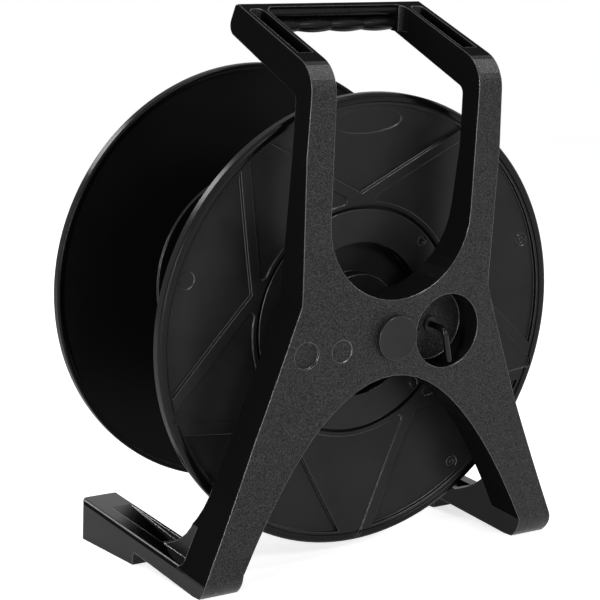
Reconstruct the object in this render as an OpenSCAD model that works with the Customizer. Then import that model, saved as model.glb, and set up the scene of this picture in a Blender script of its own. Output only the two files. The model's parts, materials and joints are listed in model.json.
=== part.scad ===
// Cable reel for an extension cord: an empty drum that turns on a fixed axle
// in a one-piece carrying frame with two long feet and a grip set behind the arms.
// All shapes are drawn in the frame's own plane: the origin is on the axle at the
// front face of the frame, X runs right, Y runs back along the axle and Z runs up
// along the arms. placed() then leans the whole reel forward and stands it on z = 0.

/* [Stance] */
// Forward lean of the upright frame, degrees
lean = 6.5; // [4:0.5:9]
// Distance from the axle down to the toes, along the frame
axle_drop = 158.5; // [158:0.5:168]

/* [Frame] */
// Half the width across the outside of the arms
arm_out = 75; // [74.5:0.5:78]
// Half the width of the window between the arms
arm_in = 54.7; // [52:0.5:56]
// Half the outside width at the top of the arms
arm_top_out = 71.5; // [70:0.5:74]
// Half the width across the waist, where arms and legs meet
waist_out = 73.4; // [72.5:0.1:74.4]
// Height of the waist above the axle
waist_z = 31; // [24:1:36]
// Height above the axle of the centre of the window's round end
window_z = 80; // [78:1:86]
// Wall thickness of the frame moulding
wall = 3; // [2:0.25:3.5]
// Depth of the legs from front to back
leg_depth = 27; // [24:0.5:29]
// Depth of the upper arms from front to back
arm_depth = 17; // [15:0.5:19]
// Distance from the axle down to the crown of the arch
arch_drop = 26.1; // [25:0.5:30]
// Width of the arch: its height falls by x squared over this length
arch_spread = 106; // [102:1:110]
// How far the middle of each leg's outer edge is drawn in
leg_bow = 1.5; // [0:0.5:5]
// Thickness of the stiffening ribs behind the frame
rib_t = 2; // [1.5:0.25:3]

/* [Handle] */
// Distance from the axle up to the corner where arms and handle meet
bend_z = 176.8; // [172:0.5:182]
// Radius of the bend between arms and handle
bend_r = 23; // [12:1:24]
// Rise of the handle arms, degrees
handle_rise = 17.6; // [12:0.2:20]
// Distance from the front face back to the top rear edge of the grip
handle_reach = 98.3; // [90:0.5:110]
// Height of the handle's side, square to its top
handle_h = 20.5; // [18:0.5:24]
// Depth of the grip bar from front to back
grip_depth = 16; // [14:0.5:20]
// Spacing of the finger waves
finger_pitch = 25.3; // [22:0.1:25.4]
// Largest radius of the finger roll
roll_r = 5; // [4:0.25:5.5]

/* [Feet] */
// Half the width across the outside of the feet
foot_out = 140; // [138:0.5:146]
// Width of a foot
foot_w = 28; // [26:0.5:30]
// Length of the feet behind the front face
foot_len = 177; // [170:1:190]
// Height of the foot bar
foot_h = 13; // [12:0.5:15]
// Length of the taller block at the rear of a foot
block_len = 82; // [70:1:90]
// How far the toes bulge forward of the upright frame
toe_bulge = 5.4; // [4:0.2:6]

/* [Brake] */
// Sideways distance from the axle to the brake screw
brake_x = 41.4; // [40.5:0.1:42.5]
// Radius of the round recess around the brake lever
recess_r = 25.3; // [24:0.1:25.8]
// Depth of the recess
recess_depth = 20; // [16:0.5:21]
// Radius of the brake screw, which is bent over into its lever
rod_r = 2.25; // [2:0.05:2.5]
// Travel of the brake shoe in one turn of the lever
brake_travel = 2; // [1:0.25:4]
// Width of the square brake shoe
shoe_w = 11; // [10:0.5:12]

/* [Drum] */
// Outer radius of the flanges
flange_r = 155; // [152:1:156]
// Width over the two flange rims
drum_w = 158.5; // [140:0.5:180]
// Gap between the legs and the front rim
rim_gap = 9.5; // [8:0.5:12]
// Width of a flange rim along the axle
rim_w = 9; // [8.5:0.5:12]
// How far the flange face falls from the rim to the hub
dish = 8; // [6:0.5:10]
// Wall thickness of the flange panels
panel_t = 2.6; // [2.4:0.1:3]
// Height of the star rib over the outer panels
star_h = 2.7; // [2:0.1:3]
// Width of the star rib
star_w = 7.5; // [5:0.5:9]
// Radius of the winding core
core_r = 62.8; // [62.5:0.1:65]
// Wall thickness of the winding core
core_t = 2.5; // [2:0.1:3]

/* [Hub] */
// Radius of the round hub opening in a flange
hub_r = 78.4; // [77:0.1:80]
// Thickness of the hub covers
cover_t = 3; // [2.5:0.25:3]
// Outer radius of the ring groove in a hub cover
groove_out = 53.4; // [52.5:0.1:53.6]
// Radius of the boss in the middle of a hub cover
groove_in = 31.8; // [28:0.1:33]
// Depth of the ring groove
groove_depth = 10; // [9.5:0.5:12]

/* [Axle] */
// Radius of the axle
axle_r = 8; // [7.5:0.1:8.5]
// Wall thickness of the bushes
bush_t = 3; // [2:0.5:3.5]
// Radius of the cap over the axle's front end
cap_r = 14.9; // [14:0.1:15.2]

/* [Winding knob] */
// Distance from the edge of the flange in to the knob
knob_inset = 50; // [43:1:57]
// Radius of the knob
knob_r = 15; // [12:0.5:17]
// Length of the knob
knob_len = 42; // [36:1:50]
// Radius of the knob's spindle
spindle_r = 4; // [3.5:0.1:4.5]

/* [Cord entry] */
// Radius of the cord that the grommet takes
cord_r = 4.5; // [3.5:0.1:5.5]

/* [Hidden] */
$fn = 96;
far = 400;
eps = 0.01;
fit = 0.05;        // radial gap of fixed round fits and of running fits
gap = 0.3;         // gap between pieces that move against each other
stub = 0.2;        // gap around pieces set in a pocket

// frame
waist_bend = 3;    // the waist's lower corner lies this far below it
waist_rise = 8;    // and its upper corner this far above
draft = 0.8;       // the window widens this much toward its top
ankle_r = 20;      // bend between the outer edge of a leg and its foot
knee_z = -58;      // the legs start to lean forward here
knee_r = 200;
toe_tip_z = 8;     // height of the toe's foremost corner, before it is rounded
toe_run = 11;      // the toe's slanting underside, before the floor cuts it
toe_r = 20;
floor_dip = 1.2;   // the toe is cut this deep by the floor, which leaves a flat
foot_in = foot_out - foot_w;
recess_draft = 0.4;
boss_r = 15.5;     // axle boss behind the frame
stamp_z = -5;      // two round blank stamp fields left of the axle
stamp_x = -41.6;
stamp_r = 7.6;
stamp_depth = 0.5;
stamp_edge_x = -waist_out + 4.9;
stamp_edge_r = 9;
arm_knee_z = 122;  // the arms reach their full slimness here
foot_slope = 1.1;  // the foot bar falls slightly toward the rear
foot_shelf = 11;   // flat outer part of the foot, beside its trough
foot_rim = 2.5;    // inner wall of the trough
trough_t = 5.5;    // depth of the trough at its front; it runs out toward the rear
trough_len = 76;
ankle_fillet = 8;  // between the back of a leg and its foot
cell_top = 4.5;    // height of the hollows under a foot
foot_end_r = 6;
foot_edge_r = 3;
heel_r = 9;

// handle
channel_t = 2.5;
channel_y = 24.5;  // start of the open channel in a handle arm
channel_run = 16;  // length of the channel's sloping front end
channel_r = 5;
under_z = bend_z - handle_h / cos(handle_rise);
hollow_z = under_z - 2;
grip_end_y = handle_reach + handle_h * sin(handle_rise) + 2.2;
grip_flange = 7.3; // width of the grip's top flange
grip_y = handle_reach - grip_flange;
grip_top = bend_z + handle_reach * tan(handle_rise);
grip_low = grip_top - handle_h;
grip_fillet = 9;
grip_edge_r = 4;
arm_fillet = 6;
arm_end_r = 7;
pocket_half = 2 * finger_pitch + 0.6;
roll_z = grip_low + roll_r;
roll_y = grip_y + roll_r + 0.6;
bead_r = 3.3;
bead_z = grip_top - 6.3;
bead_y = grip_y + bead_r;
pocket_z = bead_z + bead_r + 0.4;
grip_wall = 2.5;   // wall behind the grip's pocket

// drum, along the axle
drum_y = leg_depth + rim_gap;
drum_end = drum_y + drum_w;
drum_mid = (drum_y + drum_end) / 2;
rim_t = 3.5;
star_out = flange_r - 6;
face_y = drum_y + 1.5;
cover_y = face_y + dish + 0.5;
panel_h = star_h + panel_t;
shelf_y = cover_y + cover_t + 0.1;
shelf_t = 3.5;
core_y = shelf_y + shelf_t;
core_len = 2 * (drum_mid - core_y);
cover_r = hub_r - 2.1;
cover_wall = 2.5;
groove_wall_r = groove_out + cover_wall;
shelf_in = groove_wall_r + gap;
core_in = core_r - core_t;
foot_ring_r = core_r + 4.2;
foot_ring_w = 5;
end_ring_in = shelf_in + 0.9;
end_ring_w = 8;

// star rib: panels open toward the rim, pockets toward the hub
star_count = 5;
star_turn = 1;
star_apex = 87.3;
star_half = 31;    // half the angle of a panel at the rim
pocket_depth = 1;
pocket_base = hub_r + 3.2;
pocket_tip_r = 4.5;
pocket_foot_r = 3;
mark_at = 140;     // ring marks in the panels
mark_r = 4.6;
mark_dot_r = 2;
gate_r = 5.8;      // round gate field in the left panel
oval_at = 136;
oval_half = [27, 8.25];

// screws
screw_r = 1.5;
screw_head_r = 3;
screw_head_h = 2;
cover_screw_at = 71.4;
core_screw_at = core_r - 2.3;
screw_count = 4;

// hub and axle
bush_out = axle_r + bush_t;
bush_flange_r = 15;
bush_flange_t = 2;
bush_len = 25;
bush_wall = 3.5;
hub_face = cover_y - 0.5;
bush_y = hub_face - 1;
washer_t = 1.5;
washer_r = 14;
boss_end = bush_y - gap - washer_t;
head_r = 12;
head_y = 2.5;
head_t = 3.5;
cap_t = 3;
thread_r = axle_r - 2;
shoulder_y = 2 * drum_mid - bush_y + gap;
nut_h = 7;
nut_af = 19;
thread_end = shoulder_y + washer_t + nut_h + 1.5;
hub_cap_r = 20;
hub_cap_t = 2.5;

// brake
lever_y = rod_r + 0.25;
lever_tilt = 12.6;
lever_reach = recess_r - recess_draft - 0.8;
lever_bend = 5;
ring_r = 5;
ring_h = 1.8;
insert_r = rod_r + 1.4;
insert_end = recess_depth + wall + 0.5;
recess_back = recess_depth + wall;
pad_t = 2;
pad_r = shoe_w / 2 - 0.5;
shoe_t = 6;
pad_face = cover_y + groove_depth - gap - brake_travel;
shoe_y = pad_face - pad_t - shoe_t;
rod_end = pad_face - pad_t - gap;
clip_t = 0.8;
clip_r = rod_r + 1.5;
clip_well = clip_t + 4 * gap;
guide_t = 2.5;
guide_in = shoe_w / 2 + gap;
guide_end = shoe_y + shoe_t - 0.5;
guide_ear = 9;

// winding knob
knob_angle = -90; // the drum comes to rest with the knob at the bottom
knob_at = flange_r - knob_inset;
knob_x = knob_at * cos(knob_angle);
knob_z = knob_at * sin(knob_angle);
knob_boss_r = 9;
knob_boss_y = drum_end + 1;
knob_y = knob_boss_y + gap;
knob_end = knob_y + knob_len;
knob_waist = knob_r - 2.5;
knob_well_r = spindle_r + 3.5;
knob_well = 6.4;
spindle_head_t = 2.7;
spindle_tail_r = 3;
knob_cap_t = 2.4;

// cord entry
grommet_y = drum_end - 38;
grommet_t = 2.5;
grommet_lip = 2;
seat_r = cord_r + grommet_t + grommet_lip + 1.5;
seat_in = core_in - 2.5;
seat_out = core_r + 0.4;

// stance
axle_h = axle_drop * cos(lean);
front_y = bend_r * cos(lean) - (bend_z - bend_r * tan((90 - handle_rise) / 2)) * sin(lean) - bend_r;
rear_y = knob_end * cos(lean) - (knob_z - knob_r) * sin(lean);
origin_y = -(front_y + rear_y) / 2;

// ---------------------------------------------------------------- helpers

module placed() {
    translate([0, origin_y, axle_h]) rotate([lean, 0, 0]) children();
}

// Extrude an X-Z outline along Y, a Y-Z outline along X, or an X-Y outline along Z
module along_y(y0, y1) {
    translate([0, y1, 0]) rotate([90, 0, 0]) linear_extrude(y1 - y0) children();
}

module along_x(x0, x1) {
    translate([x0, 0, 0]) rotate([90, 0, 90]) linear_extrude(x1 - x0) children();
}

module along_z(z0, z1) {
    translate([0, 0, z0]) linear_extrude(z1 - z0) children();
}

// Turn an outline of radius and Y around the axle
module turned() {
    rotate([-90, 0, 0]) rotate_extrude() children();
}

module rod(r, y0, y1) {
    translate([0, y0, 0]) rotate([-90, 0, 0]) cylinder(r = r, h = y1 - y0);
}

module tube(r_in, r_out, y0, y1) {
    difference() {
        rod(r_out, y0, y1);
        rod(r_in, y0 - 1, y1 + 1);
    }
}

module both_sides() {
    children();
    mirror([1, 0, 0]) children();
}

// Turn a piece of the front flange side into its twin at the rear
module at_rear() {
    translate([0, 2 * drum_mid, 0]) mirror([0, 1, 0]) children();
}

module around(count, radius, start) {
    for (i = [0 : count - 1])
        rotate([0, -start - 360 * i / count, 0]) translate([radius, 0, 0]) children();
}

function unit(v) = v / norm(v);
function on_circle(r, a) = [r * cos(a), r * sin(a)];

// Points of the arc that rounds corner b between a and c with radius r
function round_corner(a, b, c, r, steps = 6) =
    let (
        u = unit(a - b),
        v = unit(c - b),
        half = acos(min(1, max(-1, u * v))) / 2,
        cut = r / tan(half),
        centre = b + unit(u + v) * r / sin(half),
        p = b + u * cut - centre,
        q = b + v * cut - centre,
        a0 = atan2(p[1], p[0]),
        turn = atan2(p[0] * q[1] - p[1] * q[0], p * q)
    )
    [for (i = [0 : steps]) centre + on_circle(r, a0 + turn * i / steps)];

// Outline through corners [x, y, radius]; a radius of 0 keeps the corner sharp
function rounded(corners, steps = 6) =
    let (n = len(corners))
    [
        for (i = [0 : n - 1])
            let (
                a = corners[(i + n - 1) % n],
                b = corners[i],
                c = corners[(i + 1) % n]
            )
            each b[2] > 0
                ? round_corner([a[0], a[1]], [b[0], b[1]], [c[0], c[1]], b[2], steps)
                : [[b[0], b[1]]]
    ];

// Outline moved inward by d; the outline runs counter-clockwise
function inset(path, d) =
    let (n = len(path))
    [
        for (i = [0 : n - 1])
            let (
                u = unit(path[i] - path[(i + n - 1) % n]),
                v = unit(path[(i + 1) % n] - path[i]),
                normal_u = [-u[1], u[0]],
                normal_v = [-v[1], v[0]]
            )
            path[i] + (normal_u + normal_v) * d / (1 + normal_u * normal_v)
    ];

// ---------------------------------------------------------------- frame

arch_steps = 12;
function arch_point(x) = [x, -arch_drop - x * x / arch_spread];

// Outer edge of a leg: a shallow arc drawn in by leg_bow
function leg_edge(low, high, steps = 8) =
    let (
        across = unit(high - low),
        inward = [-across[1], across[0]]
    )
    [
        for (i = [1 : steps])
            low + (high - low) * i / steps + inward * leg_bow * 4 * (i / steps) * (1 - i / steps)
    ];

low_z = -axle_drop - floor_dip;
ankle = [foot_out, -axle_drop + foot_h - 1];
waist = [waist_out, waist_z - waist_bend];
ankle_curve = round_corner([foot_out, low_z], ankle, waist, ankle_r);

// Right half of the frame's front outline, from the arch's crown around to the window's
function half_outline(top_z) = [
    for (i = [0 : arch_steps]) arch_point(foot_in * i / arch_steps),
    [foot_in, low_z],
    [foot_out, low_z],
    each ankle_curve,
    each leg_edge(ankle_curve[len(ankle_curve) - 1], waist),
    [waist_out, waist_z + waist_rise],
    [arm_out, arm_knee_z],
    [arm_top_out, top_z],
    [arm_in + draft, top_z],
    for (i = [0 : 10]) [0, window_z] + on_circle(arm_in, -i * 9)
];

function mirrored(path) = [for (i = [len(path) - 2 : -1 : 1]) [-path[i][0], path[i][1]]];

function outline(top_z) =
    let (half = half_outline(top_z))
    concat(half, mirrored(half));

outline_top = grip_top + 6;

// Side outline of the frame: toes, legs, arms, bend and handle arms
function side_outline() = rounded([
    [0, knee_z, knee_r],
    [-toe_bulge, -axle_drop + toe_tip_z, toe_r],
    [toe_run - toe_bulge, -axle_drop + toe_tip_z - toe_run, 0],
    [toe_run - toe_bulge, -far / 2, 0],
    [leg_depth, -far / 2, 0],
    [leg_depth, waist_z, 0],
    [arm_depth, arm_knee_z, 0],
    [arm_depth + 1, under_z + (arm_depth + 1) * tan(handle_rise) - 2, arm_fillet],
    [grip_end_y, under_z + grip_end_y * tan(handle_rise), arm_end_r],
    [handle_reach, grip_top, grip_edge_r],
    [0, bend_z, bend_r]
], 8);

// Hollow behind the front skin, open toward the drum; it ends inside the bend
function rear_hollow() = [
    [wall, knee_z],
    [wall - toe_bulge + 0.5, -axle_drop + toe_tip_z + 3 * wall],
    [wall + 0.5, -axle_drop + wall],
    [far, -axle_drop + wall],
    [far, hollow_z],
    [arm_depth + 0.5, hollow_z],
    [arm_depth - 2 * wall, hollow_z + 3.5 * wall],
    [2 * wall, hollow_z + 2.5 * wall],
    [wall, hollow_z]
];

module handle_channels() {
    floor_z = under_z + channel_t / cos(handle_rise);
    channel_end = grip_y - channel_t;
    intersection() {
        along_x(0, far) polygon([
            [channel_y, bend_z + channel_y * tan(handle_rise)],
            [channel_y + channel_run, floor_z + (channel_y + channel_run) * tan(handle_rise)],
            [channel_end + 1, floor_z + (channel_end + 1) * tan(handle_rise)],
            [channel_end + 1, far],
            [channel_y, far]
        ]);
        along_z(0, far) polygon(rounded([
            [arm_in + draft + channel_t, 0, 0],
            [arm_top_out - channel_t, 0, 0],
            [arm_top_out - channel_t, channel_end, channel_r],
            [arm_in + draft + channel_t, channel_end, channel_r]
        ]));
    }
}

// Y of the grip bar's sloping rear face, and of the back of its pocket
function grip_rear(z) =
    handle_reach + (grip_top - z) * (grip_y + grip_depth - handle_reach) / handle_h;
function pocket_back(z) = grip_rear(z) - grip_wall;

module grip_bar() {
    bar_w = arm_in + 4;
    difference() {
        intersection() {
            union() {
                translate([-bar_w, grip_y, 0]) cube([2 * bar_w, 2 * grip_depth, far]);
                both_sides() difference() {
                    translate([arm_in + 1 - grip_fillet, grip_y - grip_fillet, 0])
                        cube([grip_fillet, grip_fillet + eps, far]);
                    translate([arm_in + 1 - grip_fillet, grip_y - grip_fillet, 0])
                        cylinder(r = grip_fillet, h = far);
                }
            }
            along_x(-bar_w, bar_w) polygon(rounded([
                [0, bend_z, 0],
                [0, grip_low, 0],
                [grip_y + grip_depth, grip_low, arm_end_r],
                [handle_reach, grip_top, grip_edge_r]
            ]));
        }
        along_x(-pocket_half, pocket_half) polygon([
            [0, grip_low - 1],
            [pocket_back(grip_low - 1), grip_low - 1],
            [pocket_back(pocket_z), pocket_z],
            [0, pocket_z]
        ]);
    }
}

gusset_steps = 8;
gusset_start = [leg_depth, -axle_drop + 58.5];
gusset_pull = [leg_depth + 2, -axle_drop + foot_h + 12.5];
gusset_stop = [leg_depth + 53, -axle_drop + foot_h - 4.5];

function gusset_curve() = [
    for (i = [0 : gusset_steps])
        let (t = i / gusset_steps)
        gusset_start * (1 - t) * (1 - t) + gusset_pull * 2 * t * (1 - t) + gusset_stop * t * t
];

// One foot: a low bar with a taller block at its rear end, on the right
module foot() {
    block_y = foot_len - block_len;
    top_z = -axle_drop + foot_h;
    trough_y = gusset_stop[0] - 6;
    trough_out = foot_out - foot_shelf;
    floor_z = -axle_drop - foot_len * tan(lean) - 1;
    middle = block_y + block_len / 2;
    fillet_end = [leg_depth - 1 + ankle_fillet, top_z - 1];
    difference() {
        intersection() {
            along_x(foot_in, foot_out) polygon(concat(
                [[leg_depth - wall, low_z]],
                round_corner([0, low_z], [block_y, low_z], [block_y, -far], 3),
                [[block_y, floor_z]],
                round_corner([block_y, floor_z], [foot_len, floor_z], [foot_len, 0], heel_r),
                [[foot_len, 0], [leg_depth - wall, 0]]
            ));
            along_z(-far, 0) polygon(rounded([
                [foot_in, 0, 0],
                [foot_out, 0, 0],
                [foot_out, foot_len, foot_end_r],
                [foot_in, foot_len, foot_end_r / 3]
            ]));
            translate([0, 0, top_z]) rotate([-foot_slope, 0, 0]) along_y(0, far) polygon(rounded([
                [foot_in, -far, 0],
                [foot_out, -far, 0],
                [foot_out, 0, foot_edge_r],
                [foot_in, 0, 0.6]
            ]));
        }
        along_x(foot_in + foot_rim, trough_out) polygon([
            [trough_y, top_z - trough_t],
            [trough_y + trough_len, top_z - (trough_y + trough_len) * tan(foot_slope)],
            [trough_y + trough_len, 0],
            [trough_y, 0]
        ]);
        // hollows under the bar and the block
        for (ends = [
            [leg_depth + wall, block_y - wall],
            [block_y + wall, middle - wall],
            [middle + wall, foot_len - wall]
        ])
            translate([foot_in + wall, ends[0], -far])
                cube([foot_w - 2 * wall, ends[1] - ends[0], far - axle_drop + cell_top]);
    }
    // fillet behind the leg
    intersection() {
        along_x(foot_in, foot_out) polygon(concat(
            [[leg_depth - wall, top_z - 4], [fillet_end[0], top_z - 4]],
            [
                for (i = [1 : 6])
                    fillet_end + ankle_fillet * [-sin(15 * i), 1 - cos(15 * i)]
            ],
            [[leg_depth - wall, fillet_end[1] + ankle_fillet]]
        ));
        along_y(0, far) polygon(outline(outline_top));
    }
    intersection() {
        along_x(foot_in, trough_out) polygon(concat(
            [[leg_depth - wall, top_z - 6.5]],
            [[leg_depth - wall, gusset_start[1] + 4]],
            gusset_curve(),
            [[gusset_stop[0], top_z - 6.5]]
        ));
        along_y(0, far) polygon(outline(outline_top));
    }
}

// Ribs across the legs and arms, behind the front skin
module ribs() {
    rib_depth = arm_depth - 5;
    leg_ribs = 3;
    arm_ribs = 4;
    leg_step = (axle_drop - arch_drop) / (leg_ribs + 1.4);
    arm_step = (under_z - waist_z) / (arm_ribs + 0.2);
    for (i = [1 : leg_ribs])
        both_sides() translate([arm_in - 20, -toe_bulge, -arch_drop - i * leg_step + 10])
            cube([foot_out, leg_depth + toe_bulge - 4, rib_t]);
    for (i = [1 : arm_ribs])
        both_sides() translate([arm_in - 5, wall - eps, waist_z - 12 + i * arm_step])
            cube([arm_out, rib_depth, rib_t]);
    for (a = [110 : 40 : 230])
        rotate([0, -a, 0]) translate([boss_r - 1, wall - eps, -rib_t / 2])
            cube([waist_out - boss_r, rib_depth, rib_t]);
}

module frame_shell() {
    intersection() {
        union() {
            difference() {
                along_y(-far, far) polygon(outline(outline_top));
                intersection() {
                    along_y(-far, far) polygon(inset(outline(outline_top + 20), wall));
                    along_x(-far, far) polygon(rear_hollow());
                }
            }
            intersection() {
                ribs();
                along_y(-far, far) polygon(inset(outline(outline_top + 20), 1));
            }
        }
        along_x(-far, far) polygon(side_outline());
    }
}

module frame() {
    color("#1c1c1c") placed() difference() {
        union() {
            frame_shell();
            grip_bar();
            both_sides() foot();
            rod(boss_r, wall - eps, boss_end);
            at_brake() rod(recess_r + wall, eps, recess_back);
        }
        both_sides() handle_channels();
        // recess of the brake lever, with a little draft
        at_brake() turned() polygon([
            [0, -1],
            [recess_r, -1],
            [recess_r - recess_draft, recess_depth],
            [0, recess_depth]
        ]);
        at_brake() rod(insert_r + fit, 0, far);
        at_brake() guide_screw_places() rod(screw_r, recess_depth + 1, far);
        rod(axle_r + fit, -1, far);
        rod(head_r + stub, -1, head_y + head_t);
        // blank round stamp fields
        translate([stamp_edge_x, 0, stamp_z]) rod(stamp_edge_r, -1, wall / 2);
        translate([stamp_x, 0, stamp_z]) rod(stamp_r, -1, stamp_depth);
        // the floor
        rotate([-lean, 0, 0]) translate([-far, -far, -axle_h - far]) cube([2 * far, 2 * far, far]);
    }
}

// Finger roll and bead under the grip's top flange
module grip_insert() {
    half = pocket_half - stub;
    top = pocket_z - stub;
    wave = 1.1;
    back_t = 2;
    color("#161616") placed() {
        translate([0, roll_y, roll_z]) rotate([0, 90, 0]) rotate_extrude() polygon(concat(
            [[0, -half]],
            [
                for (i = [0 : 48])
                    let (x = -half + 2 * half * i / 48)
                    [roll_r - wave + wave * abs(cos(180 * (x / finger_pitch + 0.5))), x]
            ],
            [[0, half]]
        ));
        along_x(-half, half) {
            translate([bead_y, bead_z]) circle(r = bead_r);
            polygon([
                [pocket_back(roll_z) - stub - back_t, roll_z],
                [pocket_back(roll_z) - stub, roll_z],
                [pocket_back(top) - stub, top],
                [pocket_back(top) - stub - back_t, top]
            ]);
        }
    }
}

// ---------------------------------------------------------------- axle

module axle() {
    color("#8d9094") placed() {
        rod(head_r, head_y, head_y + head_t);
        rod(axle_r, head_y + 1, shoulder_y);
        rod(thread_r, shoulder_y - 1, thread_end);
    }
}

module axle_cap() {
    color("#1e1e1e") placed() {
        rod(cap_r, -cap_t, 0);
        tube(head_r - 3, head_r, -eps, head_y - stub);
    }
}

module axle_washer_front() {
    color("#a9adb2") placed() tube(axle_r + fit, washer_r, boss_end, boss_end + washer_t);
}

module axle_washer_rear() {
    color("#a9adb2") placed() tube(thread_r + fit, washer_r, shoulder_y, shoulder_y + washer_t);
}

module axle_nut() {
    color("#a9adb2") placed() difference() {
        translate([0, shoulder_y + washer_t, 0]) rotate([-90, 0, 0])
            cylinder(r = nut_af / sqrt(3), h = nut_h, $fn = 6);
        rod(thread_r + fit, 0, far);
    }
}

// ---------------------------------------------------------------- brake

module at_brake() {
    translate([brake_x, 0, 0]) children();
}

module guide_screw_places() {
    for (side = [-1, 1])
        translate([0, 0, side * (guide_in + guide_t + guide_ear / 2)]) children();
}

// Threaded insert that carries the brake screw; its ring shows in the recess
module brake_insert() {
    color("#141414") placed() at_brake() {
        tube(rod_r + fit, ring_r, recess_depth - ring_h, recess_depth);
        tube(rod_r + fit, insert_r, recess_depth - eps, insert_end);
    }
}

// Bracket behind the recess: two cheeks keep the square shoe from turning
module brake_guide() {
    half = guide_in + guide_t;
    color("#2a2a2a") placed() at_brake() difference() {
        translate([-shoe_w / 2, recess_back, -half - guide_ear])
            cube([shoe_w, guide_end - recess_back, 2 * (half + guide_ear)]);
        translate([-far, recess_back + guide_t, -guide_in])
            cube([2 * far, far, 2 * guide_in]);
        for (z = [-half - far, half])
            translate([-far, recess_back + guide_t, z]) cube([2 * far, far, far]);
        rod(insert_r + fit, 0, far);
        guide_screw_places() rod(screw_r + fit, 0, far);
    }
}

module brake_guide_screws() {
    head_at = recess_back + guide_t;
    color("#a9adb2") placed() at_brake() guide_screw_places() {
        rod(screw_r - fit, recess_depth + 1.2, head_at + 1);
        rod(screw_head_r, head_at, head_at + screw_head_h);
    }
}

// Bent rod: the lever lies in the recess and the screw reaches back to the shoe
module brake_lever() {
    color("#101010") placed() at_brake() {
        rotate([0, -lever_tilt, 0]) {
            rod(rod_r, lever_y + lever_bend, rod_end);
            intersection() {
                translate([0, lever_y + lever_bend, -lever_bend]) rotate([0, 90, 0])
                    rotate_extrude() translate([lever_bend, 0]) circle(r = rod_r, $fn = 48);
                translate([-rod_r - 1, lever_y - rod_r - 1, -lever_bend])
                    cube([2 * rod_r + 2, lever_bend + rod_r + 1, lever_bend + rod_r + 1]);
            }
            translate([0, lever_y, -lever_reach + rod_r])
                cylinder(r = rod_r, h = lever_reach - rod_r - lever_bend, $fn = 48);
            translate([0, lever_y, -lever_reach + rod_r]) sphere(r = rod_r, $fn = 48);
        }
    }
}

// Two clips that hold the end of the screw in the shoe
module brake_clips() {
    color("#a9adb2") placed() at_brake()
        for (y = [shoe_y - gap - clip_t, shoe_y + shoe_t - clip_well + gap])
            tube(rod_r, clip_r, y, y + clip_t);
}

// Square shoe in which the end of the screw turns
module brake_shoe() {
    color("#3a3a3a") placed() at_brake() difference() {
        translate([-shoe_w / 2, shoe_y, -shoe_w / 2]) cube([shoe_w, shoe_t, shoe_w]);
        rod(rod_r + fit, 0, far);
        rod(clip_r + gap, shoe_y + shoe_t - clip_well, far);
    }
}

module brake_pad() {
    color("#0d0d0d") placed() at_brake() rod(pad_r, pad_face - pad_t, pad_face);
}

// ---------------------------------------------------------------- drum

// Front surface of the flange's star rib at a radius
function star_y(r) = face_y + dish * (star_out - r) / (star_out - hub_r);

// Layer of the flange from well in front of the star rib down to a depth below it
module dish_layer(depth) {
    turned() polygon([
        [hub_r - 10, face_y - 10],
        [flange_r + 5, face_y - 10],
        [flange_r + 5, star_y(flange_r + 5) + depth],
        [hub_r - 10, star_y(hub_r - 10) + depth]
    ]);
}

function panel_corner(side) = on_circle(star_out, side * star_half);

// Panel between two points of the star, open toward the rim, around angle 0
module panel_shape() {
    intersection() {
        polygon([
            [star_apex, 0],
            [star_apex, 0] + (panel_corner(-1) - [star_apex, 0]) * 1.2,
            [flange_r * 1.2, 0],
            [star_apex, 0] + (panel_corner(1) - [star_apex, 0]) * 1.2
        ]);
        circle(r = star_out - 1.5, $fn = 180);
    }
}

// Pocket inside a point of the star, around angle 0
module pocket_shape() {
    tip_angle = 180 / star_count;
    apex = on_circle(star_apex, -tip_angle);
    rim = on_circle(star_out, -tip_angle + star_half);
    along = unit(rim - apex);
    start = apex + [-along[1], along[0]] * star_w;
    tip = start + along * -start[1] / along[1];
    // the point of the pocket's side that lies on the hub ring
    b = start * along;
    foot = start + along * (-b + sqrt(b * b - start * start + pocket_base * pocket_base));
    foot_angle = atan2(foot[1], foot[0]);
    polygon(rounded(concat(
        [[foot[0], foot[1], pocket_foot_r]],
        [[tip[0], 0, pocket_tip_r]],
        [[foot[0], -foot[1], pocket_foot_r]],
        [
            for (i = [4 : -1 : -4])
                concat(on_circle(pocket_base, -foot_angle * i / 6), 0)
        ]
    )));
}

module ring_shape(r) {
    difference() {
        circle(r = r);
        circle(r = r - 0.8);
    }
}

module star_places(offset_angle) {
    for (i = [0 : star_count - 1])
        rotate(90 + star_turn + offset_angle + 360 * i / star_count) children();
}

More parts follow.
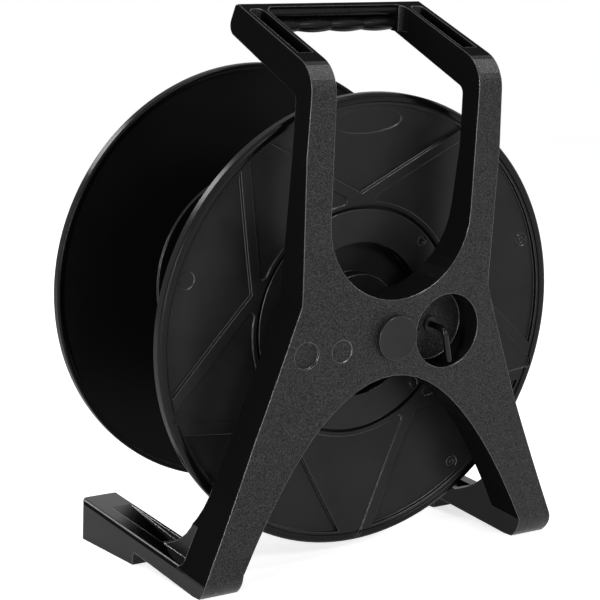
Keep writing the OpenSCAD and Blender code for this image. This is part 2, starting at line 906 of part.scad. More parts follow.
module flange_body() {
    difference() {
        turned() polygon(rounded([
            [hub_r, star_y(hub_r), 0.8],
            [star_out, star_y(star_out), 1],
            [star_out + 0.6, drum_y, 1],
            [flange_r, drum_y, 2.6],
            [flange_r, drum_y + rim_w, 1.5],
            [flange_r - rim_t, drum_y + rim_w, 1.5],
            [flange_r - rim_t, star_y(flange_r) + panel_h, 1],
            [hub_r + 2.5, star_y(hub_r) + panel_h, 0],
            [hub_r + 2.5, core_y, 0],
            [shelf_in, core_y, 0],
            [shelf_in, shelf_y, 0],
            [hub_r, shelf_y, 0]
        ], 4), $fn = 180);
        intersection() {
            along_y(0, far) star_places(0) panel_shape();
            dish_layer(star_h);
        }
        intersection() {
            along_y(0, far) star_places(180 / star_count) pocket_shape();
            dish_layer(pocket_depth);
        }
        // blank oval field and ring marks in the panels
        intersection() {
            along_y(0, far) {
                rotate(star_turn) translate([0, oval_at]) polygon([
                    for (a = [0 : 12 : 348]) [oval_half[0] * cos(a), oval_half[1] * sin(a)]
                ]);
                for (i = [2 : star_count - 1])
                    rotate(90 + star_turn + 360 * i / star_count) translate([mark_at, 0]) {
                        ring_shape(mark_r);
                        ring_shape(mark_dot_r);
                    }
            }
            dish_layer(star_h + 0.8);
        }
        intersection() {
            along_y(0, far) rotate(90 + star_turn + 360 / star_count) translate([mark_at, 0])
                circle(r = gate_r);
            dish_layer(star_h + 0.3);
        }
    }
    // bosses for the cover screws, on the winding side
    around(screw_count, cover_screw_at, 45) rod(4, core_y - eps, core_y + 6);
}

module flange_holes() {
    around(screw_count, cover_screw_at, 45) rod(screw_r, shelf_y - 1, core_y + 4.5);
    around(screw_count, core_screw_at, 22.5) {
        rod(screw_r + fit, shelf_y - 1, far);
        rod(screw_head_r + stub, shelf_y - 1, shelf_y + screw_head_h);
    }
}

module front_flange() {
    color("#202020") placed() difference() {
        flange_body();
        flange_holes();
    }
}

module rear_flange() {
    color("#202020") placed() at_rear() difference() {
        union() {
            flange_body();
            knob_place() rod(knob_boss_r, front_of(knob_boss_y), star_y(knob_at) + panel_h - 0.5);
        }
        flange_holes();
        knob_place() rod(spindle_tail_r + fit, 0, star_y(knob_at) + panel_h - 1.5);
    }
}

// Y of the mirrored twin of a place on the rear side
function front_of(y) = 2 * drum_mid - y;

module knob_place() {
    translate([knob_x, 0, knob_z]) children();
}

module core_end() {
    tube(core_in, foot_ring_r, core_y, core_y + foot_ring_w);
    tube(end_ring_in, core_r, core_y, core_y + end_ring_w);
}

// Winding core, with a flat seat for the cord grommet on its left side
module core() {
    color("#1d1d1d") placed() difference() {
        union() {
            tube(core_in, core_r, core_y, core_y + core_len);
            core_end();
            at_rear() core_end();
            tube(core_in + 1, core_r + 1, grommet_y - 22, grommet_y - 20);
            intersection() {
                grommet_place() cylinder(r = seat_r, h = seat_out - seat_in);
                rod(core_r + 2, 0, far);
            }
        }
        grommet_place() translate([0, 0, -5])
            cylinder(r = cord_r + grommet_t + fit, h = seat_out - seat_in + 10);
        around(screw_count, core_screw_at, 22.5) rod(screw_r, 0, core_y + end_ring_w - 1);
        at_rear() around(screw_count, core_screw_at, 22.5) rod(screw_r, 0, core_y + end_ring_w - 1);
    }
}

module grommet_place() {
    translate([-seat_in, grommet_y, 0]) rotate([0, -90, 0]) children();
}

module cord_grommet() {
    depth = seat_out - seat_in;
    body_r = cord_r + grommet_t;
    color("#0f0f0f") placed() grommet_place() difference() {
        union() {
            translate([0, 0, -grommet_lip]) cylinder(r = body_r + grommet_lip, h = grommet_lip);
            translate([0, 0, -eps]) cylinder(r = body_r, h = depth + 2 * eps);
            translate([0, 0, depth]) cylinder(r = body_r + grommet_lip, h = grommet_lip);
        }
        translate([0, 0, -5]) cylinder(r = cord_r, h = depth + 10);
    }
}

module core_screw() {
    rod(screw_head_r, shelf_y + stub, shelf_y + screw_head_h);
    rod(screw_r - fit, shelf_y + 1, core_y + end_ring_w - 2);
}

module core_screws() {
    color("#a9adb2") placed() {
        around(screw_count, core_screw_at, 22.5) core_screw();
        at_rear() around(screw_count, core_screw_at, 22.5) core_screw();
    }
}

// Stepped cover: outer ring, ring groove, middle boss and bush holder
module cover_body() {
    deep = cover_y + groove_depth;
    bore_r = bush_out + fit;
    turned() polygon([
        [cover_r, cover_y],
        [cover_r, cover_y + cover_t],
        [groove_wall_r, cover_y + cover_t],
        [groove_wall_r, deep + cover_t],
        [groove_in - cover_wall, deep + cover_t],
        [groove_in - cover_wall, hub_face + 4],
        [bush_out + bush_wall, hub_face + 4],
        [bush_out + bush_wall, bush_y + bush_len],
        [bore_r, bush_y + bush_len],
        [bore_r, bush_y + bush_flange_t],
        [bush_flange_r + stub, bush_y + bush_flange_t],
        [bush_flange_r + stub, hub_face],
        [groove_in, hub_face],
        [groove_in, deep],
        [groove_out, deep],
        [groove_out, cover_y]
    ]);
}

module cover_screw_holes() {
    around(screw_count, cover_screw_at, 45) {
        rod(screw_r + fit, 0, far);
        rod(screw_head_r + stub, 0, cover_y + screw_head_h);
    }
}

module cover() {
    difference() {
        cover_body();
        cover_screw_holes();
    }
}

module hub_cover_front() {
    color("#232323") placed() cover();
}

module hub_cover_rear() {
    color("#232323") placed() at_rear() cover();
}

module cover_screw() {
    rod(screw_head_r, cover_y + stub, cover_y + screw_head_h);
    rod(screw_r - fit, cover_y + 1, core_y + 4);
}

module cover_screws_front() {
    color("#a9adb2") placed() around(screw_count, cover_screw_at, 45) cover_screw();
}

module cover_screws_rear() {
    color("#a9adb2") placed() at_rear() around(screw_count, cover_screw_at, 45) cover_screw();
}

module bush_body() {
    tube(axle_r + fit, bush_flange_r, bush_y, bush_y + bush_flange_t);
    tube(axle_r + fit, bush_out, bush_y + bush_flange_t - eps, bush_y + bush_len);
}

module bush_front() {
    color("#d8d4c6") placed() bush_body();
}

module bush_rear() {
    color("#d8d4c6") placed() at_rear() bush_body();
}

// Cap over the axle nut, fixed on the rear cover's boss
module hub_cap() {
    face = front_of(hub_face);
    color("#1e1e1e") placed() difference() {
        rod(hub_cap_r, face, thread_end + 1 + hub_cap_t);
        rod(hub_cap_r - hub_cap_t, face - 1, thread_end + 1);
    }
}

// ---------------------------------------------------------------- winding knob

module knob_spindle() {
    head_y = knob_end - knob_well + gap;
    color("#a9adb2") placed() knob_place() {
        rod(spindle_tail_r, front_of(star_y(knob_at) + panel_h - 2), knob_boss_y + 1);
        rod(spindle_r, knob_boss_y, head_y + 1);
        rod(spindle_r + 2, head_y, head_y + spindle_head_t);
    }
}

module winding_knob() {
    color("#1b1b1b") placed() knob_place() difference() {
        turned() polygon(rounded([
            [0, knob_y, 0],
            [knob_waist, knob_y, 2],
            [knob_waist - 1, knob_y + knob_len * 0.4, 30],
            [knob_r, knob_end - 8, 12],
            [knob_r - 0.5, knob_end, 3],
            [0, knob_end, 0]
        ]));
        rod(spindle_r + fit, 0, far);
        rod(knob_well_r, knob_end - knob_well, far);
    }
}

module knob_cap() {
    color("#161616") placed() knob_place() rod(knob_well_r - fit, knob_end - knob_cap_t, knob_end);
}

frame();
grip_insert();
axle();
axle_cap();
axle_washer_front();
axle_washer_rear();
axle_nut();
brake_insert();
brake_guide();
brake_guide_screws();
brake_shoe();
brake_pad();
brake_lever();
brake_clips();
front_flange();
rear_flange();
core();
core_screws();
hub_cover_front();
hub_cover_rear();
cover_screws_front();
cover_screws_rear();
bush_front();
bush_rear();
hub_cap();
cord_grommet();
knob_spindle();
winding_knob();
knob_cap();
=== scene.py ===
# %% [markdown]
# # A cable reel, dressed for its picture
#
# The reel's solids come from the CAD model. They already have the true sizes, so
# Blender's work here is what the eye reads as material: the sand-like grain of the
# moulded frame, the satin flanges, the bent steel lever, the screws and the knob.
# The first cell loads the solids as a fixed frame that nothing may move.

# %% Load the solids
import json
from math import atan2, cos, degrees, pi, radians, sin

import bmesh
import bpy
from mathutils import Matrix, Vector


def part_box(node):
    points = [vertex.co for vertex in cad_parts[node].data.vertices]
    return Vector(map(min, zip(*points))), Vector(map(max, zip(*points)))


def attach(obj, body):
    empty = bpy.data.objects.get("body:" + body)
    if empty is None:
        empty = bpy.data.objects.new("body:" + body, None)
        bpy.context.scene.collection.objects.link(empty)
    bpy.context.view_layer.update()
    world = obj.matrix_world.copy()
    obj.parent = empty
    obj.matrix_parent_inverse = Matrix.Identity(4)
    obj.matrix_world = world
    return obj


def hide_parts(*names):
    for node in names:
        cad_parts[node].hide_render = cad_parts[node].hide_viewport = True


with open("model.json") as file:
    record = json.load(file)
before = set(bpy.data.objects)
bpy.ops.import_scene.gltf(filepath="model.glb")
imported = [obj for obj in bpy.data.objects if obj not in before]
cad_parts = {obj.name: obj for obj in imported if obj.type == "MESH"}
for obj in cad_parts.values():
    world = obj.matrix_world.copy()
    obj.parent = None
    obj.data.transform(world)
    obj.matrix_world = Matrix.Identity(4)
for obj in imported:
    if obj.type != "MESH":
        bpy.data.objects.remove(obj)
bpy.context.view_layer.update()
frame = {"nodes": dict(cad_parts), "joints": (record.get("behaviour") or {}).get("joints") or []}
nodes = frame["nodes"]

# %% [markdown]
# The upright frame leans forward, and the drum's axle leans with it. It is easier to
# think in the reel's own plane: X to the right, Y back along the axle, Z up along the
# arms. The drum's joint says where the axle is and where it points, and one matrix
# then carries every new piece from that plane to its place.

# %% The reel's own plane
spin = next(joint for joint in frame["joints"] if joint["name"] == "drum_spin")
axle_at = Vector(spin["pos_m"])
lean = atan2(spin["axis"][2], spin["axis"][1])
reel = Matrix.Translation(axle_at) @ Matrix.Rotation(lean, 4, "X")
print(f"axle at {axle_at[:]}, leaning {degrees(lean):.2f} degrees")

# %% [markdown]
# ## Writing shaders as sums
#
# A shader graph is a drawing of a formula. Written as Python, `grain * 0.3 + wear` is
# easier to read than four nodes and their links. Number wraps a socket, and its
# operators add the Math nodes. Finish holds a material and has one method that adds
# any other node.

# %% A number on a surface
class Number:
    """A value that changes over a surface."""

    def __init__(self, finish, socket):
        self.finish = finish
        self.socket = socket

    def combine(self, operation, *values):
        """The Math node for an operation, with its inputs in order."""
        return self.finish.node("ShaderNodeMath", {"operation": operation}, dict(enumerate(values)))

    def __add__(self, other):
        return self.combine("ADD", self, other)

    def __sub__(self, other):
        return self.combine("SUBTRACT", self, other)

    def __rsub__(self, other):
        return self.combine("SUBTRACT", other, self)

    def __mul__(self, other):
        return self.combine("MULTIPLY", self, other)

    def __abs__(self):
        return self.combine("ABSOLUTE", self)

    __radd__ = __add__

    def between(self, low, high):
        """0 below low, 1 above high, and smooth between them."""
        return self.finish.node(
            "ShaderNodeMapRange",
            {"interpolation_type": "SMOOTHSTEP"},
            {"Value": self, "From Min": low, "From Max": high})


# %% A material and its nodes
class Finish:
    """A material under construction."""

    def __init__(self, name):
        self.material = bpy.data.materials.new(name)
        self.material.use_nodes = True
        self.tree = self.material.node_tree
        self.surface = self.tree.nodes["Principled BSDF"]
        self.shown = Number(self, self.surface.outputs[0])

    def join(self, value, socket):
        """Link a Number to a socket, or write a plain value into it."""
        if isinstance(value, Number):
            self.tree.links.new(value.socket, socket)
        else:
            socket.default_value = value

    def node(self, kind, settings=None, values=None, output=0):
        """Add a node. Settings are its properties, and values go to its inputs."""
        made = self.tree.nodes.new(kind)
        for name, setting in (settings or {}).items():
            setattr(made, name, setting)
        for name, value in (values or {}).items():
            self.join(value, made.inputs[name])
        return Number(self, made.outputs[output])

    def set(self, **values):
        """Give the first surface its values, with _ for each space in a name."""
        for name, value in values.items():
            self.join(value, self.surface.inputs[name.replace("_", " ")])

    def place(self):
        """Position on the piece, in metres."""
        return self.node("ShaderNodeTexCoord", output="Object")

    def noise(self, size, detail=2.0, rough=0.5):
        """Noise from 0 to 1 whose lumps are about `size` metres across."""
        return self.node(
            "ShaderNodeTexNoise", None,
            {"Vector": self.place(), "Scale": 1 / size, "Detail": detail, "Roughness": rough})

    def blend(self, factor, low, high):
        """A colour between low and high."""
        return self.node(
            "ShaderNodeMix", {"data_type": "RGBA"}, {0: factor, 6: low, 7: high}, output=2)

    def soft_edges(self, radius):
        """The normal near an edge, rounded over `radius` metres."""
        return self.node("ShaderNodeBevel", {"samples": 6}, {"Radius": radius})

    def edge_mask(self, rounded):
        """1 on an edge and 0 on a flat face."""
        flat = self.node("ShaderNodeNewGeometry", output="Normal")
        likeness = self.node(
            "ShaderNodeVectorMath", {"operation": "DOT_PRODUCT"}, {0: rounded, 1: flat}, output="Value")
        return (1 - likeness).between(0.004, 0.12)

    def facing(self, axis, low, high):
        """1 where the surface faces along an axis, either way, and 0 where it doesn't."""
        normal = self.node("ShaderNodeTexCoord", output="Normal")
        return abs(self.node("ShaderNodeSeparateXYZ", None, {0: normal}, output=axis)).between(low, high)

    def height(self):
        """Height above the floor, in metres."""
        return self.node("ShaderNodeSeparateXYZ", None, {0: self.place()}, output="Z")

    def layer(self, mask, **values):
        """Show another surface where the mask is 1."""
        other = self.tree.nodes.new("ShaderNodeBsdfPrincipled")
        for name, value in values.items():
            self.join(value, other.inputs[name.replace("_", " ")])
        self.shown = self.node(
            "ShaderNodeMixShader", None, {0: mask, 1: self.shown, 2: Number(self, other.outputs[0])})
        self.join(self.shown, self.tree.nodes["Material Output"].inputs["Surface"])

    def bump(self, height, depth, normal):
        """A normal that stands up by `depth` metres where height is 1."""
        return self.node("ShaderNodeBump", None, {
            "Strength": 1.0, "Distance": depth, "Height": height, "Normal": normal})


# %% [markdown]
# ## The frame's grain
#
# The frame is a black moulding whose mould was eroded by sparks, which leaves a grain
# like fine sand on its front. The grain stands up and catches light, and its specks
# are lighter in colour, so the front looks grey. The sides and tops are painted shade:
# chosen by the surface's normal, they get a near-black colour, most of all above the
# feet they also lose their shine, and the grain fades there. Shoes and floors rub the
# feet, which are smoother, most of all on top. Two sizes of noise make the grain, and
# the surface's own normal says where it fades. A shinier layer on the two bends below
# the grip, also chosen by the normal, is a painted highlight. The edges are polished
# and shine as thin lines.

# %% Finish of the frame
sand_size, pit_size, patch_size = 0.0006, 0.0013, 0.06
grain_depth = 0.0006
foot_top, leg_start = 0.05, 0.1


def frame_finish():
    finish = Finish("grained_black")
    rounded = finish.soft_edges(0.001)
    edge = finish.edge_mask(rounded)
    side = finish.facing("X", 0.5, 0.85)
    top = finish.facing("Z", 0.6, 0.9)
    # Sides and tops: painted shade. Chosen by the normal, they get a near-black colour and the grain
    # fades there.
    side_or_top_shade = (side + top).between(0.0, 1.0)
    sand = finish.noise(sand_size, detail=1.0)
    pits = finish.noise(pit_size, detail=1.0)
    patches = finish.noise(patch_size)
    lumps = sand * 0.75 + pits * 0.25
    above_feet = finish.height().between(foot_top, leg_start)
    finish.set(
        Base_Color=finish.blend(
            lumps.between(0.46, 0.6) * (1 - side_or_top_shade),
            (0.0003, 0.0003, 0.0003, 1), (0.034, 0.034, 0.0345, 1)),
        Roughness=0.34 - top * (1 - above_feet) * 0.16 + (patches - 0.5) * 0.1,
        Specular_IOR_Level=0.16,
        Normal=finish.bump(lumps * (1 - side_or_top_shade * 0.9), grain_depth, rounded))
    # Painted shade: a near-black layer without shine on the sides, and above the feet on the tops.
    leaning = finish.facing("Z", 0.06, 0.2)
    finish.layer(
        side * (above_feet + leaning + 0.45).between(0.0, 1.0) + top * above_feet * 0.95,
        Base_Color=finish.blend(sand, (0.002, 0.002, 0.0021, 1), (0.008, 0.008, 0.0082, 1)),
        Roughness=0.7 + (sand - 0.5) * 0.2, Specular_IOR_Level=0.0)
    # Painted highlight: a shinier layer on the bends below the grip, chosen by the normal's angle.
    bend_highlight = finish.facing("Z", 0.2, 0.45) * (1 - finish.facing("Z", 0.7, 0.85))
    finish.layer(
        bend_highlight * above_feet * (1 - side) * 0.5,
        Base_Color=finish.blend(lumps, (0.003, 0.003, 0.0031, 1), (0.012, 0.012, 0.0122, 1)),
        Roughness=0.24 + (sand - 0.5) * 0.2, Specular_IOR_Level=0.7,
        Normal=finish.bump(lumps, grain_depth, rounded))
    finish.layer(
        edge * 0.9,
        Base_Color=finish.blend(sand, (0.003, 0.003, 0.0031, 1), (0.006, 0.006, 0.0061, 1)),
        Roughness=0.22 + (patches - 0.5) * 0.1, IOR=1.6, Specular_IOR_Level=1.0,
        Normal=rounded)
    return finish.material


grained_black = frame_finish()
print("made", grained_black.name)

# %% [markdown]
# ## The satin flanges
#
# The flanges are a harder, smoother plastic. Cord that is wound on and off rubs faint
# rings into them, so the roughness is drawn from rings about the axle. The rings need
# the distance from the axle: the surface's place is turned into the reel's own plane,
# and the length of its X and Z is the radius. Past the start of the rim the plastic is
# smoother and darker. A flange's inner face, where its normal points to the middle of
# the drum, is painted shade: it gets a much blacker colour than the outer face and almost
# no shine, and it is a little smoother. Steep walls lose their shine, as on the frame.

# %% Finish of the flanges, covers and core
drum_middle = 0.11575
rim_start, rim_full = 0.1485, 0.1495
rings_per_metre = 1400.0
# Colours of the painted shade on the flanges' inner faces.
inner_shade_colours = ((0.0014, 0.0014, 0.0015, 1), (0.0026, 0.0026, 0.0027, 1))


def turned_finish(name, dark, light, roughness, specular, shaded_inside=False, edge_radius=0.0008):
    finish = Finish(name)
    rounded = finish.soft_edges(edge_radius)
    edge = finish.edge_mask(rounded)
    in_plane = finish.node(
        "ShaderNodeMapping", {"vector_type": "TEXTURE"},
        {"Vector": finish.place(), "Location": axle_at, "Rotation": (lean, 0, 0)})
    flattened = finish.node(
        "ShaderNodeVectorMath", {"operation": "MULTIPLY"}, {0: in_plane, 1: (1, 0, 1)})
    radius = finish.node(
        "ShaderNodeVectorMath", {"operation": "LENGTH"}, {0: flattened}, output="Value")
    rings = finish.node(
        "ShaderNodeTexNoise", {"noise_dimensions": "1D"},
        {"W": radius, "Scale": rings_per_metre, "Detail": 3.0})
    patches = finish.noise(0.035, detail=3.0, rough=0.55)
    skin = finish.noise(0.0011)
    rim = radius.between(rim_start, rim_full)
    tone = finish.blend(patches.between(0.3, 0.7), (*dark, 1), (*light, 1))
    finish.set(
        Base_Color=finish.blend(rim, tone, (0.002, 0.002, 0.0021, 1)),
        Roughness=roughness - rim * 0.2 + (rings - 0.5) * 0.1 + (patches - 0.5) * 0.1,
        Specular_IOR_Level=specular,
        Normal=finish.bump(skin * (1 - rim), 0.00006, rounded))
    # Painted shade: the inner faces, between the two flanges, get a much blacker colour and almost no
    # shine.
    if shaded_inside:
        depth = finish.node("ShaderNodeSeparateXYZ", None, {0: in_plane}, output="Y")
        normal = finish.node("ShaderNodeTexCoord", output="Normal")
        normal_y = finish.node("ShaderNodeSeparateXYZ", None, {0: normal}, output="Y")
        finish.layer(
            ((drum_middle - depth) * normal_y).between(0.0, 0.01),
            Base_Color=finish.blend(patches, *inner_shade_colours),
            Roughness=0.34 - rim * 0.14 + (rings - 0.5) * 0.1,
            Specular_IOR_Level=0.06, Normal=rounded)
    finish.layer(
        (1 - finish.facing("Y", 0.35, 0.8)) * (1 - rim * 0.4) * 0.85,
        Base_Color=finish.blend(patches, (*dark, 1), (*light, 1)),
        Roughness=0.6 + (skin - 0.5) * 0.2, Specular_IOR_Level=0.0)
    finish.layer(
        edge * 0.8,
        Base_Color=finish.blend(patches, (0.003, 0.003, 0.0031, 1), (0.005, 0.005, 0.0051, 1)),
        Roughness=0.2 + (rings - 0.5) * 0.1, IOR=1.65, Specular_IOR_Level=0.9,
        Normal=rounded)
    return finish.material


satin_black = turned_finish(
    "satin_black", (0.008, 0.008, 0.0083), (0.0125, 0.0125, 0.0129), 0.38, 0.13,
    shaded_inside=True)
core_black = turned_finish("core_black", (0.006, 0.006, 0.0063), (0.010, 0.010, 0.0104), 0.3, 0.18)
cap_satin = turned_finish(
    "cap_satin", (0.009, 0.009, 0.0093), (0.014, 0.014, 0.0144), 0.44, 0.16, edge_radius=0.0005)
hub_black = turned_finish("hub_black", (0.008, 0.008, 0.0083), (0.013, 0.013, 0.0134), 0.34, 0.16)
print("made", satin_black.name, core_black.name, cap_satin.name, hub_black.name)

# %% [markdown]
# ## The small parts
#
# The grip's roll is a soft, slightly shiny rubber; the lever is painted steel; the
# fasteners are zinc plated, those of the covers in black; the bushes are natural nylon.
# Each gets a little noise in its colour, roughness and relief, at the scale that the
# real finish has, and its edges are rubbed smoother.

# %% Finishes of the small parts
def simple_finish(name, dark, light, size, roughness, variation, depth, metal=0.0, specular=0.4):
    finish = Finish(name)
    rounded = finish.soft_edges(0.0003)
    edge = finish.edge_mask(rounded)
    grain = finish.noise(size, detail=3.0, rough=0.55)
    finish.set(
        Base_Color=finish.blend(grain, (*dark, 1), (*light, 1)),
        Roughness=roughness - edge * variation + (grain - 0.5) * variation,
        Metallic=metal,
        Specular_IOR_Level=specular,
        Normal=finish.bump(grain, depth, rounded))
    return finish.material


cap_black = simple_finish(
    "cap_black", (0.006, 0.006, 0.0063), (0.024, 0.024, 0.0245), 0.0011, 0.4, 0.14, 0.00012,
    specular=0.18)
grip_rubber = simple_finish(
    "grip_rubber", (0.003, 0.003, 0.0032), (0.007, 0.007, 0.0073), 0.0012, 0.26, 0.14, 0.00004,
    specular=0.12)
matt_rubber = simple_finish(
    "matt_rubber", (0.006, 0.006, 0.0063), (0.014, 0.014, 0.0145), 0.0008, 0.6, 0.14, 0.00006,
    specular=0.2)
painted_rod = simple_finish(
    "painted_rod", (0.003, 0.003, 0.0032), (0.006, 0.006, 0.0063), 0.002, 0.12, 0.06, 0.00002,
    specular=0.18)
zinc = simple_finish(
    "zinc", (0.50, 0.51, 0.53), (0.66, 0.67, 0.69), 0.003, 0.34, 0.16, 0.00002, metal=1.0)
dark_zinc = simple_finish(
    "dark_zinc", (0.02, 0.02, 0.022), (0.035, 0.035, 0.038), 0.001, 0.4, 0.14, 0.00002, metal=1.0)
nylon = simple_finish(
    "nylon", (0.66, 0.64, 0.57), (0.76, 0.74, 0.68), 0.004, 0.42, 0.14, 0.00003)

finishes = {
    "frame": grained_black, "grip_insert": grip_rubber,
    "axle": zinc, "axle_cap": cap_satin, "axle_washer_front": zinc, "axle_washer_rear": zinc,
    "axle_nut": zinc, "brake_insert": cap_black, "brake_guide": hub_black,
    "brake_guide_screws": zinc, "brake_shoe": hub_black, "brake_pad": matt_rubber,
    "brake_lever": painted_rod, "brake_clips": zinc,
    "front_flange": satin_black, "rear_flange": satin_black, "core": core_black,
    "core_screws": zinc, "hub_cover_front": hub_black, "hub_cover_rear": hub_black,
    "cover_screws_front": dark_zinc, "cover_screws_rear": dark_zinc,
    "bush_front": nylon, "bush_rear": nylon, "hub_cap": cap_black,
    "cord_grommet": matt_rubber, "knob_spindle": zinc, "winding_knob": cap_black,
    "knob_cap": cap_black,
}
for name, material in finishes.items():
    nodes[name].data.materials.clear()
    nodes[name].data.materials.append(material)
print("dressed", len(finishes), "of", len(nodes), "solids")

# %% [markdown]
# ## The cover's screws
#
# Four small screws hold each hub cover, and each has a cross cut in its head for the
# driver. The solids are plain round heads, so two new pieces take their place. The cross
# starts as a grid of nine faces without its corners. The rest of the head and the shank
# are a profile turned around it with spin, as on a lathe. Bridging joins their open edges,
# and insetting the cross downwards cuts the recess.

# %% One screw with a cross recess
def open_loop(shape, inside):
    """The free edges whose ends all satisfy `inside`."""
    return [edge for edge in shape.edges
            if len(edge.link_faces) == 1 and all(inside(vert.co) for vert in edge.verts)]


def cross_screw(head_radius, head_height, shank_radius, length):
    """A screw in millimetres whose head's top is at Z = 0 and whose shank points down."""
    shape = bmesh.new()
    cross = head_radius * 0.56
    bmesh.ops.create_grid(shape, x_segments=3, y_segments=3, size=cross)
    centres = {face: face.calc_center_median() for face in shape.faces}
    corners = [face for face, centre in centres.items()
               if min(abs(centre.x), abs(centre.y)) > cross / 3]
    bmesh.ops.delete(shape, geom=corners, context="FACES")
    cross_faces = list(shape.faces)

    tip = 0.6
    profile = [(head_radius * 0.82, 0.0), (head_radius * 0.95, -0.15), (head_radius, -0.5),
               (head_radius, -head_height), (shank_radius, -head_height),
               (shank_radius, -length + tip), (shank_radius - tip, -length), (0.0, -length)]
    verts = [shape.verts.new((x, 0, z)) for x, z in profile]
    edges = [shape.edges.new(pair) for pair in zip(verts, verts[1:])]
    bmesh.ops.spin(
        shape, geom=verts + edges, cent=(0, 0, 0), axis=(0, 0, 1), angle=2 * pi, steps=24,
        use_merge=True)
    bmesh.ops.remove_doubles(shape, verts=shape.verts, dist=0.001)

    between_loops = head_radius * 0.7
    inner = open_loop(shape, lambda point: point.xy.length < between_loops)
    outer = open_loop(shape, lambda point: point.xy.length > between_loops)
    bmesh.ops.bridge_loops(shape, edges=inner + outer)
    bmesh.ops.recalc_face_normals(shape, faces=shape.faces)
    bmesh.ops.inset_region(
        shape, faces=cross_faces, thickness=0.12, depth=-head_height * 0.6,
        use_boundary=True, use_even_offset=True)
    return shape


# %% [markdown]
# A finished shape goes to its place in one step: millimetres become metres, and the
# matrix of the reel's own plane carries it along. Its object stays at the origin, as a
# solid's does, so the material's pattern stays with it. Each screw's cross stands at an
# angle of its own, as the driver left it.

# %% Screws on both covers
millimetres = Matrix.Scale(0.001, 4)
screw_circle = 71.4
screw_angles = (45, 135, 225, 315)
cross_turn = 1.7
screw_sizes = {"head_radius": 3.0, "head_height": 1.8, "shank_radius": 1.45, "length": 10.4}
sharp_edge = radians(32)


def add_piece(name, shape, material, body, stands_for):
    """Make the shape a piece that rides on a body and takes a solid's place."""
    bmesh.ops.recalc_face_normals(shape, faces=shape.faces)
    mesh = bpy.data.meshes.new(name)
    shape.to_mesh(mesh)
    shape.free()
    mesh.shade_smooth()
    mesh.set_sharp_from_angle(angle=sharp_edge)
    mesh.materials.append(material)
    piece = bpy.data.objects.new(name, mesh)
    bpy.context.scene.collection.objects.link(piece)
    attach(piece, body)
    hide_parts(stands_for)
    return piece


def ring_of_screws(name, head_y, outward):
    """Four screws whose heads' tops lie at head_y and face outward, -1 front or 1 rear."""
    group = bmesh.new()
    for angle in screw_angles:
        single = cross_screw(**screw_sizes)
        x, z = screw_circle * cos(radians(angle)), screw_circle * sin(radians(angle))
        place = (
            reel @ millimetres @ Matrix.Translation((x, head_y, z))
            @ Matrix.Rotation(-outward * pi / 2, 4, "X")
            @ Matrix.Rotation(radians(angle * cross_turn), 4, "Z"))
        bmesh.ops.transform(single, matrix=place, verts=single.verts)
        kept = bpy.data.meshes.new("one_screw")
        single.to_mesh(kept)
        single.free()
        group.from_mesh(kept)
        bpy.data.meshes.remove(kept)
    return add_piece(name + "_cross", group, dark_zinc, "drum", name)


def print_margins(piece, solid):
    """How far the piece lies inside the solid's box, in millimetres."""
    for axis, (low, high) in enumerate(zip(*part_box(solid))):
        places = [vert.co[axis] for vert in piece.data.vertices]
        before, after = 1000 * (min(places) - low), 1000 * (high - max(places))
        print(piece.name, "XYZ"[axis], f"inside by {before:.2f} and {after:.2f} mm")


for name, head_y, outward in (("cover_screws_front", 46.7, -1), ("cover_screws_rear", 184.8, 1)):
    print_margins(ring_of_screws(name, head_y, outward), name)

# %% [markdown]
# ## The winding knob
#
# The knob on the rear flange turns on its spindle while a hand turns the drum, so it has
# shallow flutes that keep it from slipping in the fingers. The profile runs out along
# the waist and back through the well and the bore, so spinning it gives a closed shape
# without poles. Then a cosine of the angle pulls the skin inwards to make the flutes,
# which are deepest at half their length and fade out at both ends.

# %% Knob with flutes
knob_start, spindle_offset = 196.3, 105.0
flutes, flute_depth, flute_from, flute_to = 12, 1.2, 3, 36
inside_wall = 8
knob_profile = [
    (4.1, 0.0), (10.5, 0.0), (11.8, 0.6), (12.35, 2.0), (12.2, 4.0), (11.9, 9.0), (11.6, 14.0),
    (11.7, 18.0), (12.4, 23.0), (13.4, 28.0), (14.2, 31.5), (14.6, 35.0), (14.4, 39.0),
    (13.6, 41.1), (12.0, 41.9), (7.5, 41.9), (7.5, 35.6), (4.1, 35.6)]


def fluted_knob():
    shape = bmesh.new()
    verts = [shape.verts.new((radius, 0, along)) for radius, along in knob_profile]
    edges = [shape.edges.new(pair) for pair in zip(verts, verts[1:] + verts[:1])]
    bmesh.ops.spin(
        shape, geom=verts + edges, cent=(0, 0, 0), axis=(0, 0, 1), angle=2 * pi,
        steps=8 * flutes, use_merge=True)
    bmesh.ops.remove_doubles(shape, verts=shape.verts, dist=0.001)
    for vert in shape.verts:
        radius, along = vert.co.xy.length, vert.co.z
        if radius > inside_wall and flute_from < along < flute_to:
            fade = sin(pi * (along - flute_from) / (flute_to - flute_from))
            hollow = 0.5 - 0.5 * cos(flutes * atan2(vert.co.y, vert.co.x))
            vert.co.xy *= 1 - flute_depth * fade * hollow / radius
    place = (
        reel @ millimetres @ Matrix.Translation((0, knob_start, -spindle_offset))
        @ Matrix.Rotation(-pi / 2, 4, "X"))
    bmesh.ops.transform(shape, matrix=place, verts=shape.verts)
    return shape


knob = add_piece(
    "winding_knob_fluted", fluted_knob(), cap_black, "knob", "winding_knob")
print_margins(knob, "winding_knob")

# %% [markdown]
# ## The room
#
# The reel stands on a pale floor in a white room. The camera looks slightly down at it
# from the left of its front, with a long lens, so the flanges stay nearly round. Its
# place is worked out in the reel's own plane from an azimuth, an elevation and a roll.

# %% Camera
view_azimuth, view_elevation, view_roll = radians(-32.64), radians(14.38), radians(2.54)
view_distance = 1.1689
view_target = Vector((-0.07557, 0.0, 0.03268))

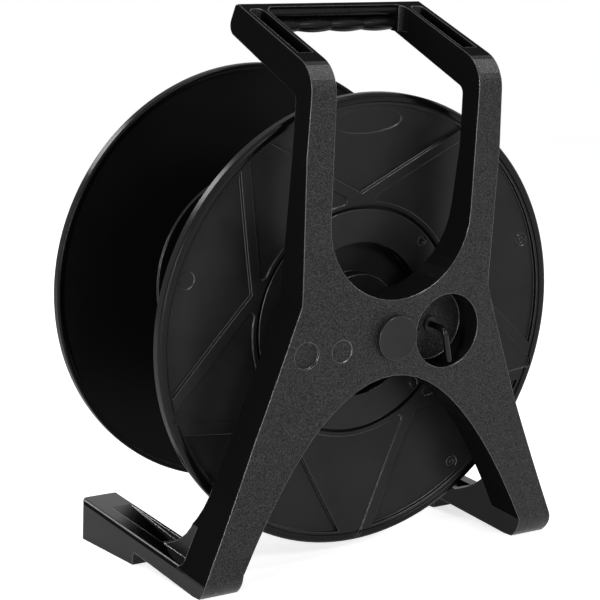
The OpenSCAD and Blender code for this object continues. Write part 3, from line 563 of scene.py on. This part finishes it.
toward = Vector((
    sin(view_azimuth) * cos(view_elevation),
    -cos(view_azimuth) * cos(view_elevation),
    sin(view_elevation)))
level = Vector((cos(view_azimuth), sin(view_azimuth), 0))
upright = toward.cross(level)
right = cos(view_roll) * level + sin(view_roll) * upright
up = cos(view_roll) * upright - sin(view_roll) * level
pose = Matrix((right, up, toward)).transposed().to_4x4()
pose.translation = view_target + toward * view_distance

lens = bpy.data.cameras.new("camera")
lens.sensor_width = 36
lens.lens = 111.8
camera = bpy.data.objects.new("camera", lens)
camera.matrix_world = reel @ pose
bpy.context.scene.collection.objects.link(camera)
bpy.context.scene.camera = camera
bpy.context.scene.view_settings.view_transform = "Standard"
print("camera at", [round(v, 3) for v in camera.matrix_world.translation])

# %% [markdown]
# The world is white where the camera or a reflection looks at it and a soft grey where
# it lights the reel, so the lamps keep their shape. The floor gets a glow in the same way,
# and it still takes the reel's shadow, because the rest of its light falls on it.

# %% World
def white_where_seen(tree, strength, full=1.0):
    """`full` for rays from the camera, a reflection or glass, and `strength` for light."""
    path = tree.nodes.new("ShaderNodeLightPath")
    seen = path.outputs["Is Camera Ray"]
    for name in ("Is Glossy Ray", "Is Transmission Ray"):
        either = tree.nodes.new("ShaderNodeMath")
        either.operation = "MAXIMUM"
        tree.links.new(seen, either.inputs[0])
        tree.links.new(path.outputs[name], either.inputs[1])
        seen = either.outputs[0]
    chosen = tree.nodes.new("ShaderNodeMapRange")
    chosen.inputs["To Min"].default_value = strength
    chosen.inputs["To Max"].default_value = full
    tree.links.new(seen, chosen.inputs["Value"])
    return chosen.outputs["Result"]


room_light = 0.3
world = bpy.data.worlds.new("white_room")
world.use_nodes = True
bpy.context.scene.world = world
sky = world.node_tree.nodes["Background"]
sky.inputs["Color"].default_value = (1, 1, 1, 1)
world.node_tree.links.new(white_where_seen(world.node_tree, room_light), sky.inputs["Strength"])
print("world made, its light", room_light)

# %% Floor
floor_half_width, floor_glow = 3.0, 0.72
floor_shape = bmesh.new()
bmesh.ops.create_grid(floor_shape, x_segments=1, y_segments=1, size=floor_half_width)
floor_mesh = bpy.data.meshes.new("floor")
floor_shape.to_mesh(floor_mesh)
floor_shape.free()
floor = bpy.data.objects.new("floor", floor_mesh)
bpy.context.scene.collection.objects.link(floor)
pale = Finish("pale_floor")
pale.set(
    Base_Color=pale.blend(pale.noise(0.3), (0.8, 0.8, 0.8, 1), (0.84, 0.84, 0.84, 1)),
    Roughness=0.9, Specular_IOR_Level=0.0)
glow = pale.node("ShaderNodeEmission", None, {
    "Strength": Number(pale, white_where_seen(pale.tree, 0.0, floor_glow))})
lit_and_glowing = pale.node("ShaderNodeAddShader", None, {0: pale.shown, 1: glow})
pale.join(lit_and_glowing, pale.tree.nodes["Material Output"].inputs["Surface"])
floor_mesh.materials.append(pale.material)
print("floor made,", 2 * floor_half_width, "metres wide")

# %% [markdown]
# Six soft boxes light the reel at a plain level. The key box and a weaker one stand high
# in front of it, and a tall one on the left draws a streak down the rims and the frame's
# edges. The others are on the right, above, and behind, so that the back can be read as
# well.

# %% Lamps
def soft_box(name, place, aim, width, height, watts):
    lamp = bpy.data.lights.new(name, "AREA")
    lamp.shape = "RECTANGLE"
    lamp.size, lamp.size_y, lamp.energy = width, height, watts
    holder = bpy.data.objects.new(name, lamp)
    holder.location = place
    holder.rotation_euler = (Vector(place) - Vector(aim)).to_track_quat("Z", "Y").to_euler()
    bpy.context.scene.collection.objects.link(holder)


middle = (0, 0, 0.18)
soft_box("key_box", (0.35, -1.6, 0.9), middle, 0.5, 0.36, 7)
soft_box("front_box", (0.0, -1.7, 1.0), middle, 0.5, 0.5, 4)
soft_box("left_box", (-1.25, -0.72, 0.35), middle, 0.25, 0.66, 11)
soft_box("right_box", (1.5, -0.2, 1.0), middle, 0.3, 0.8, 4)
soft_box("top_box", (0.2, -0.4, 2.0), middle, 0.7, 0.7, 14)
soft_box("back_box", (-0.6, 1.7, 1.3), middle, 0.5, 0.5, 14)
print("lamps made")
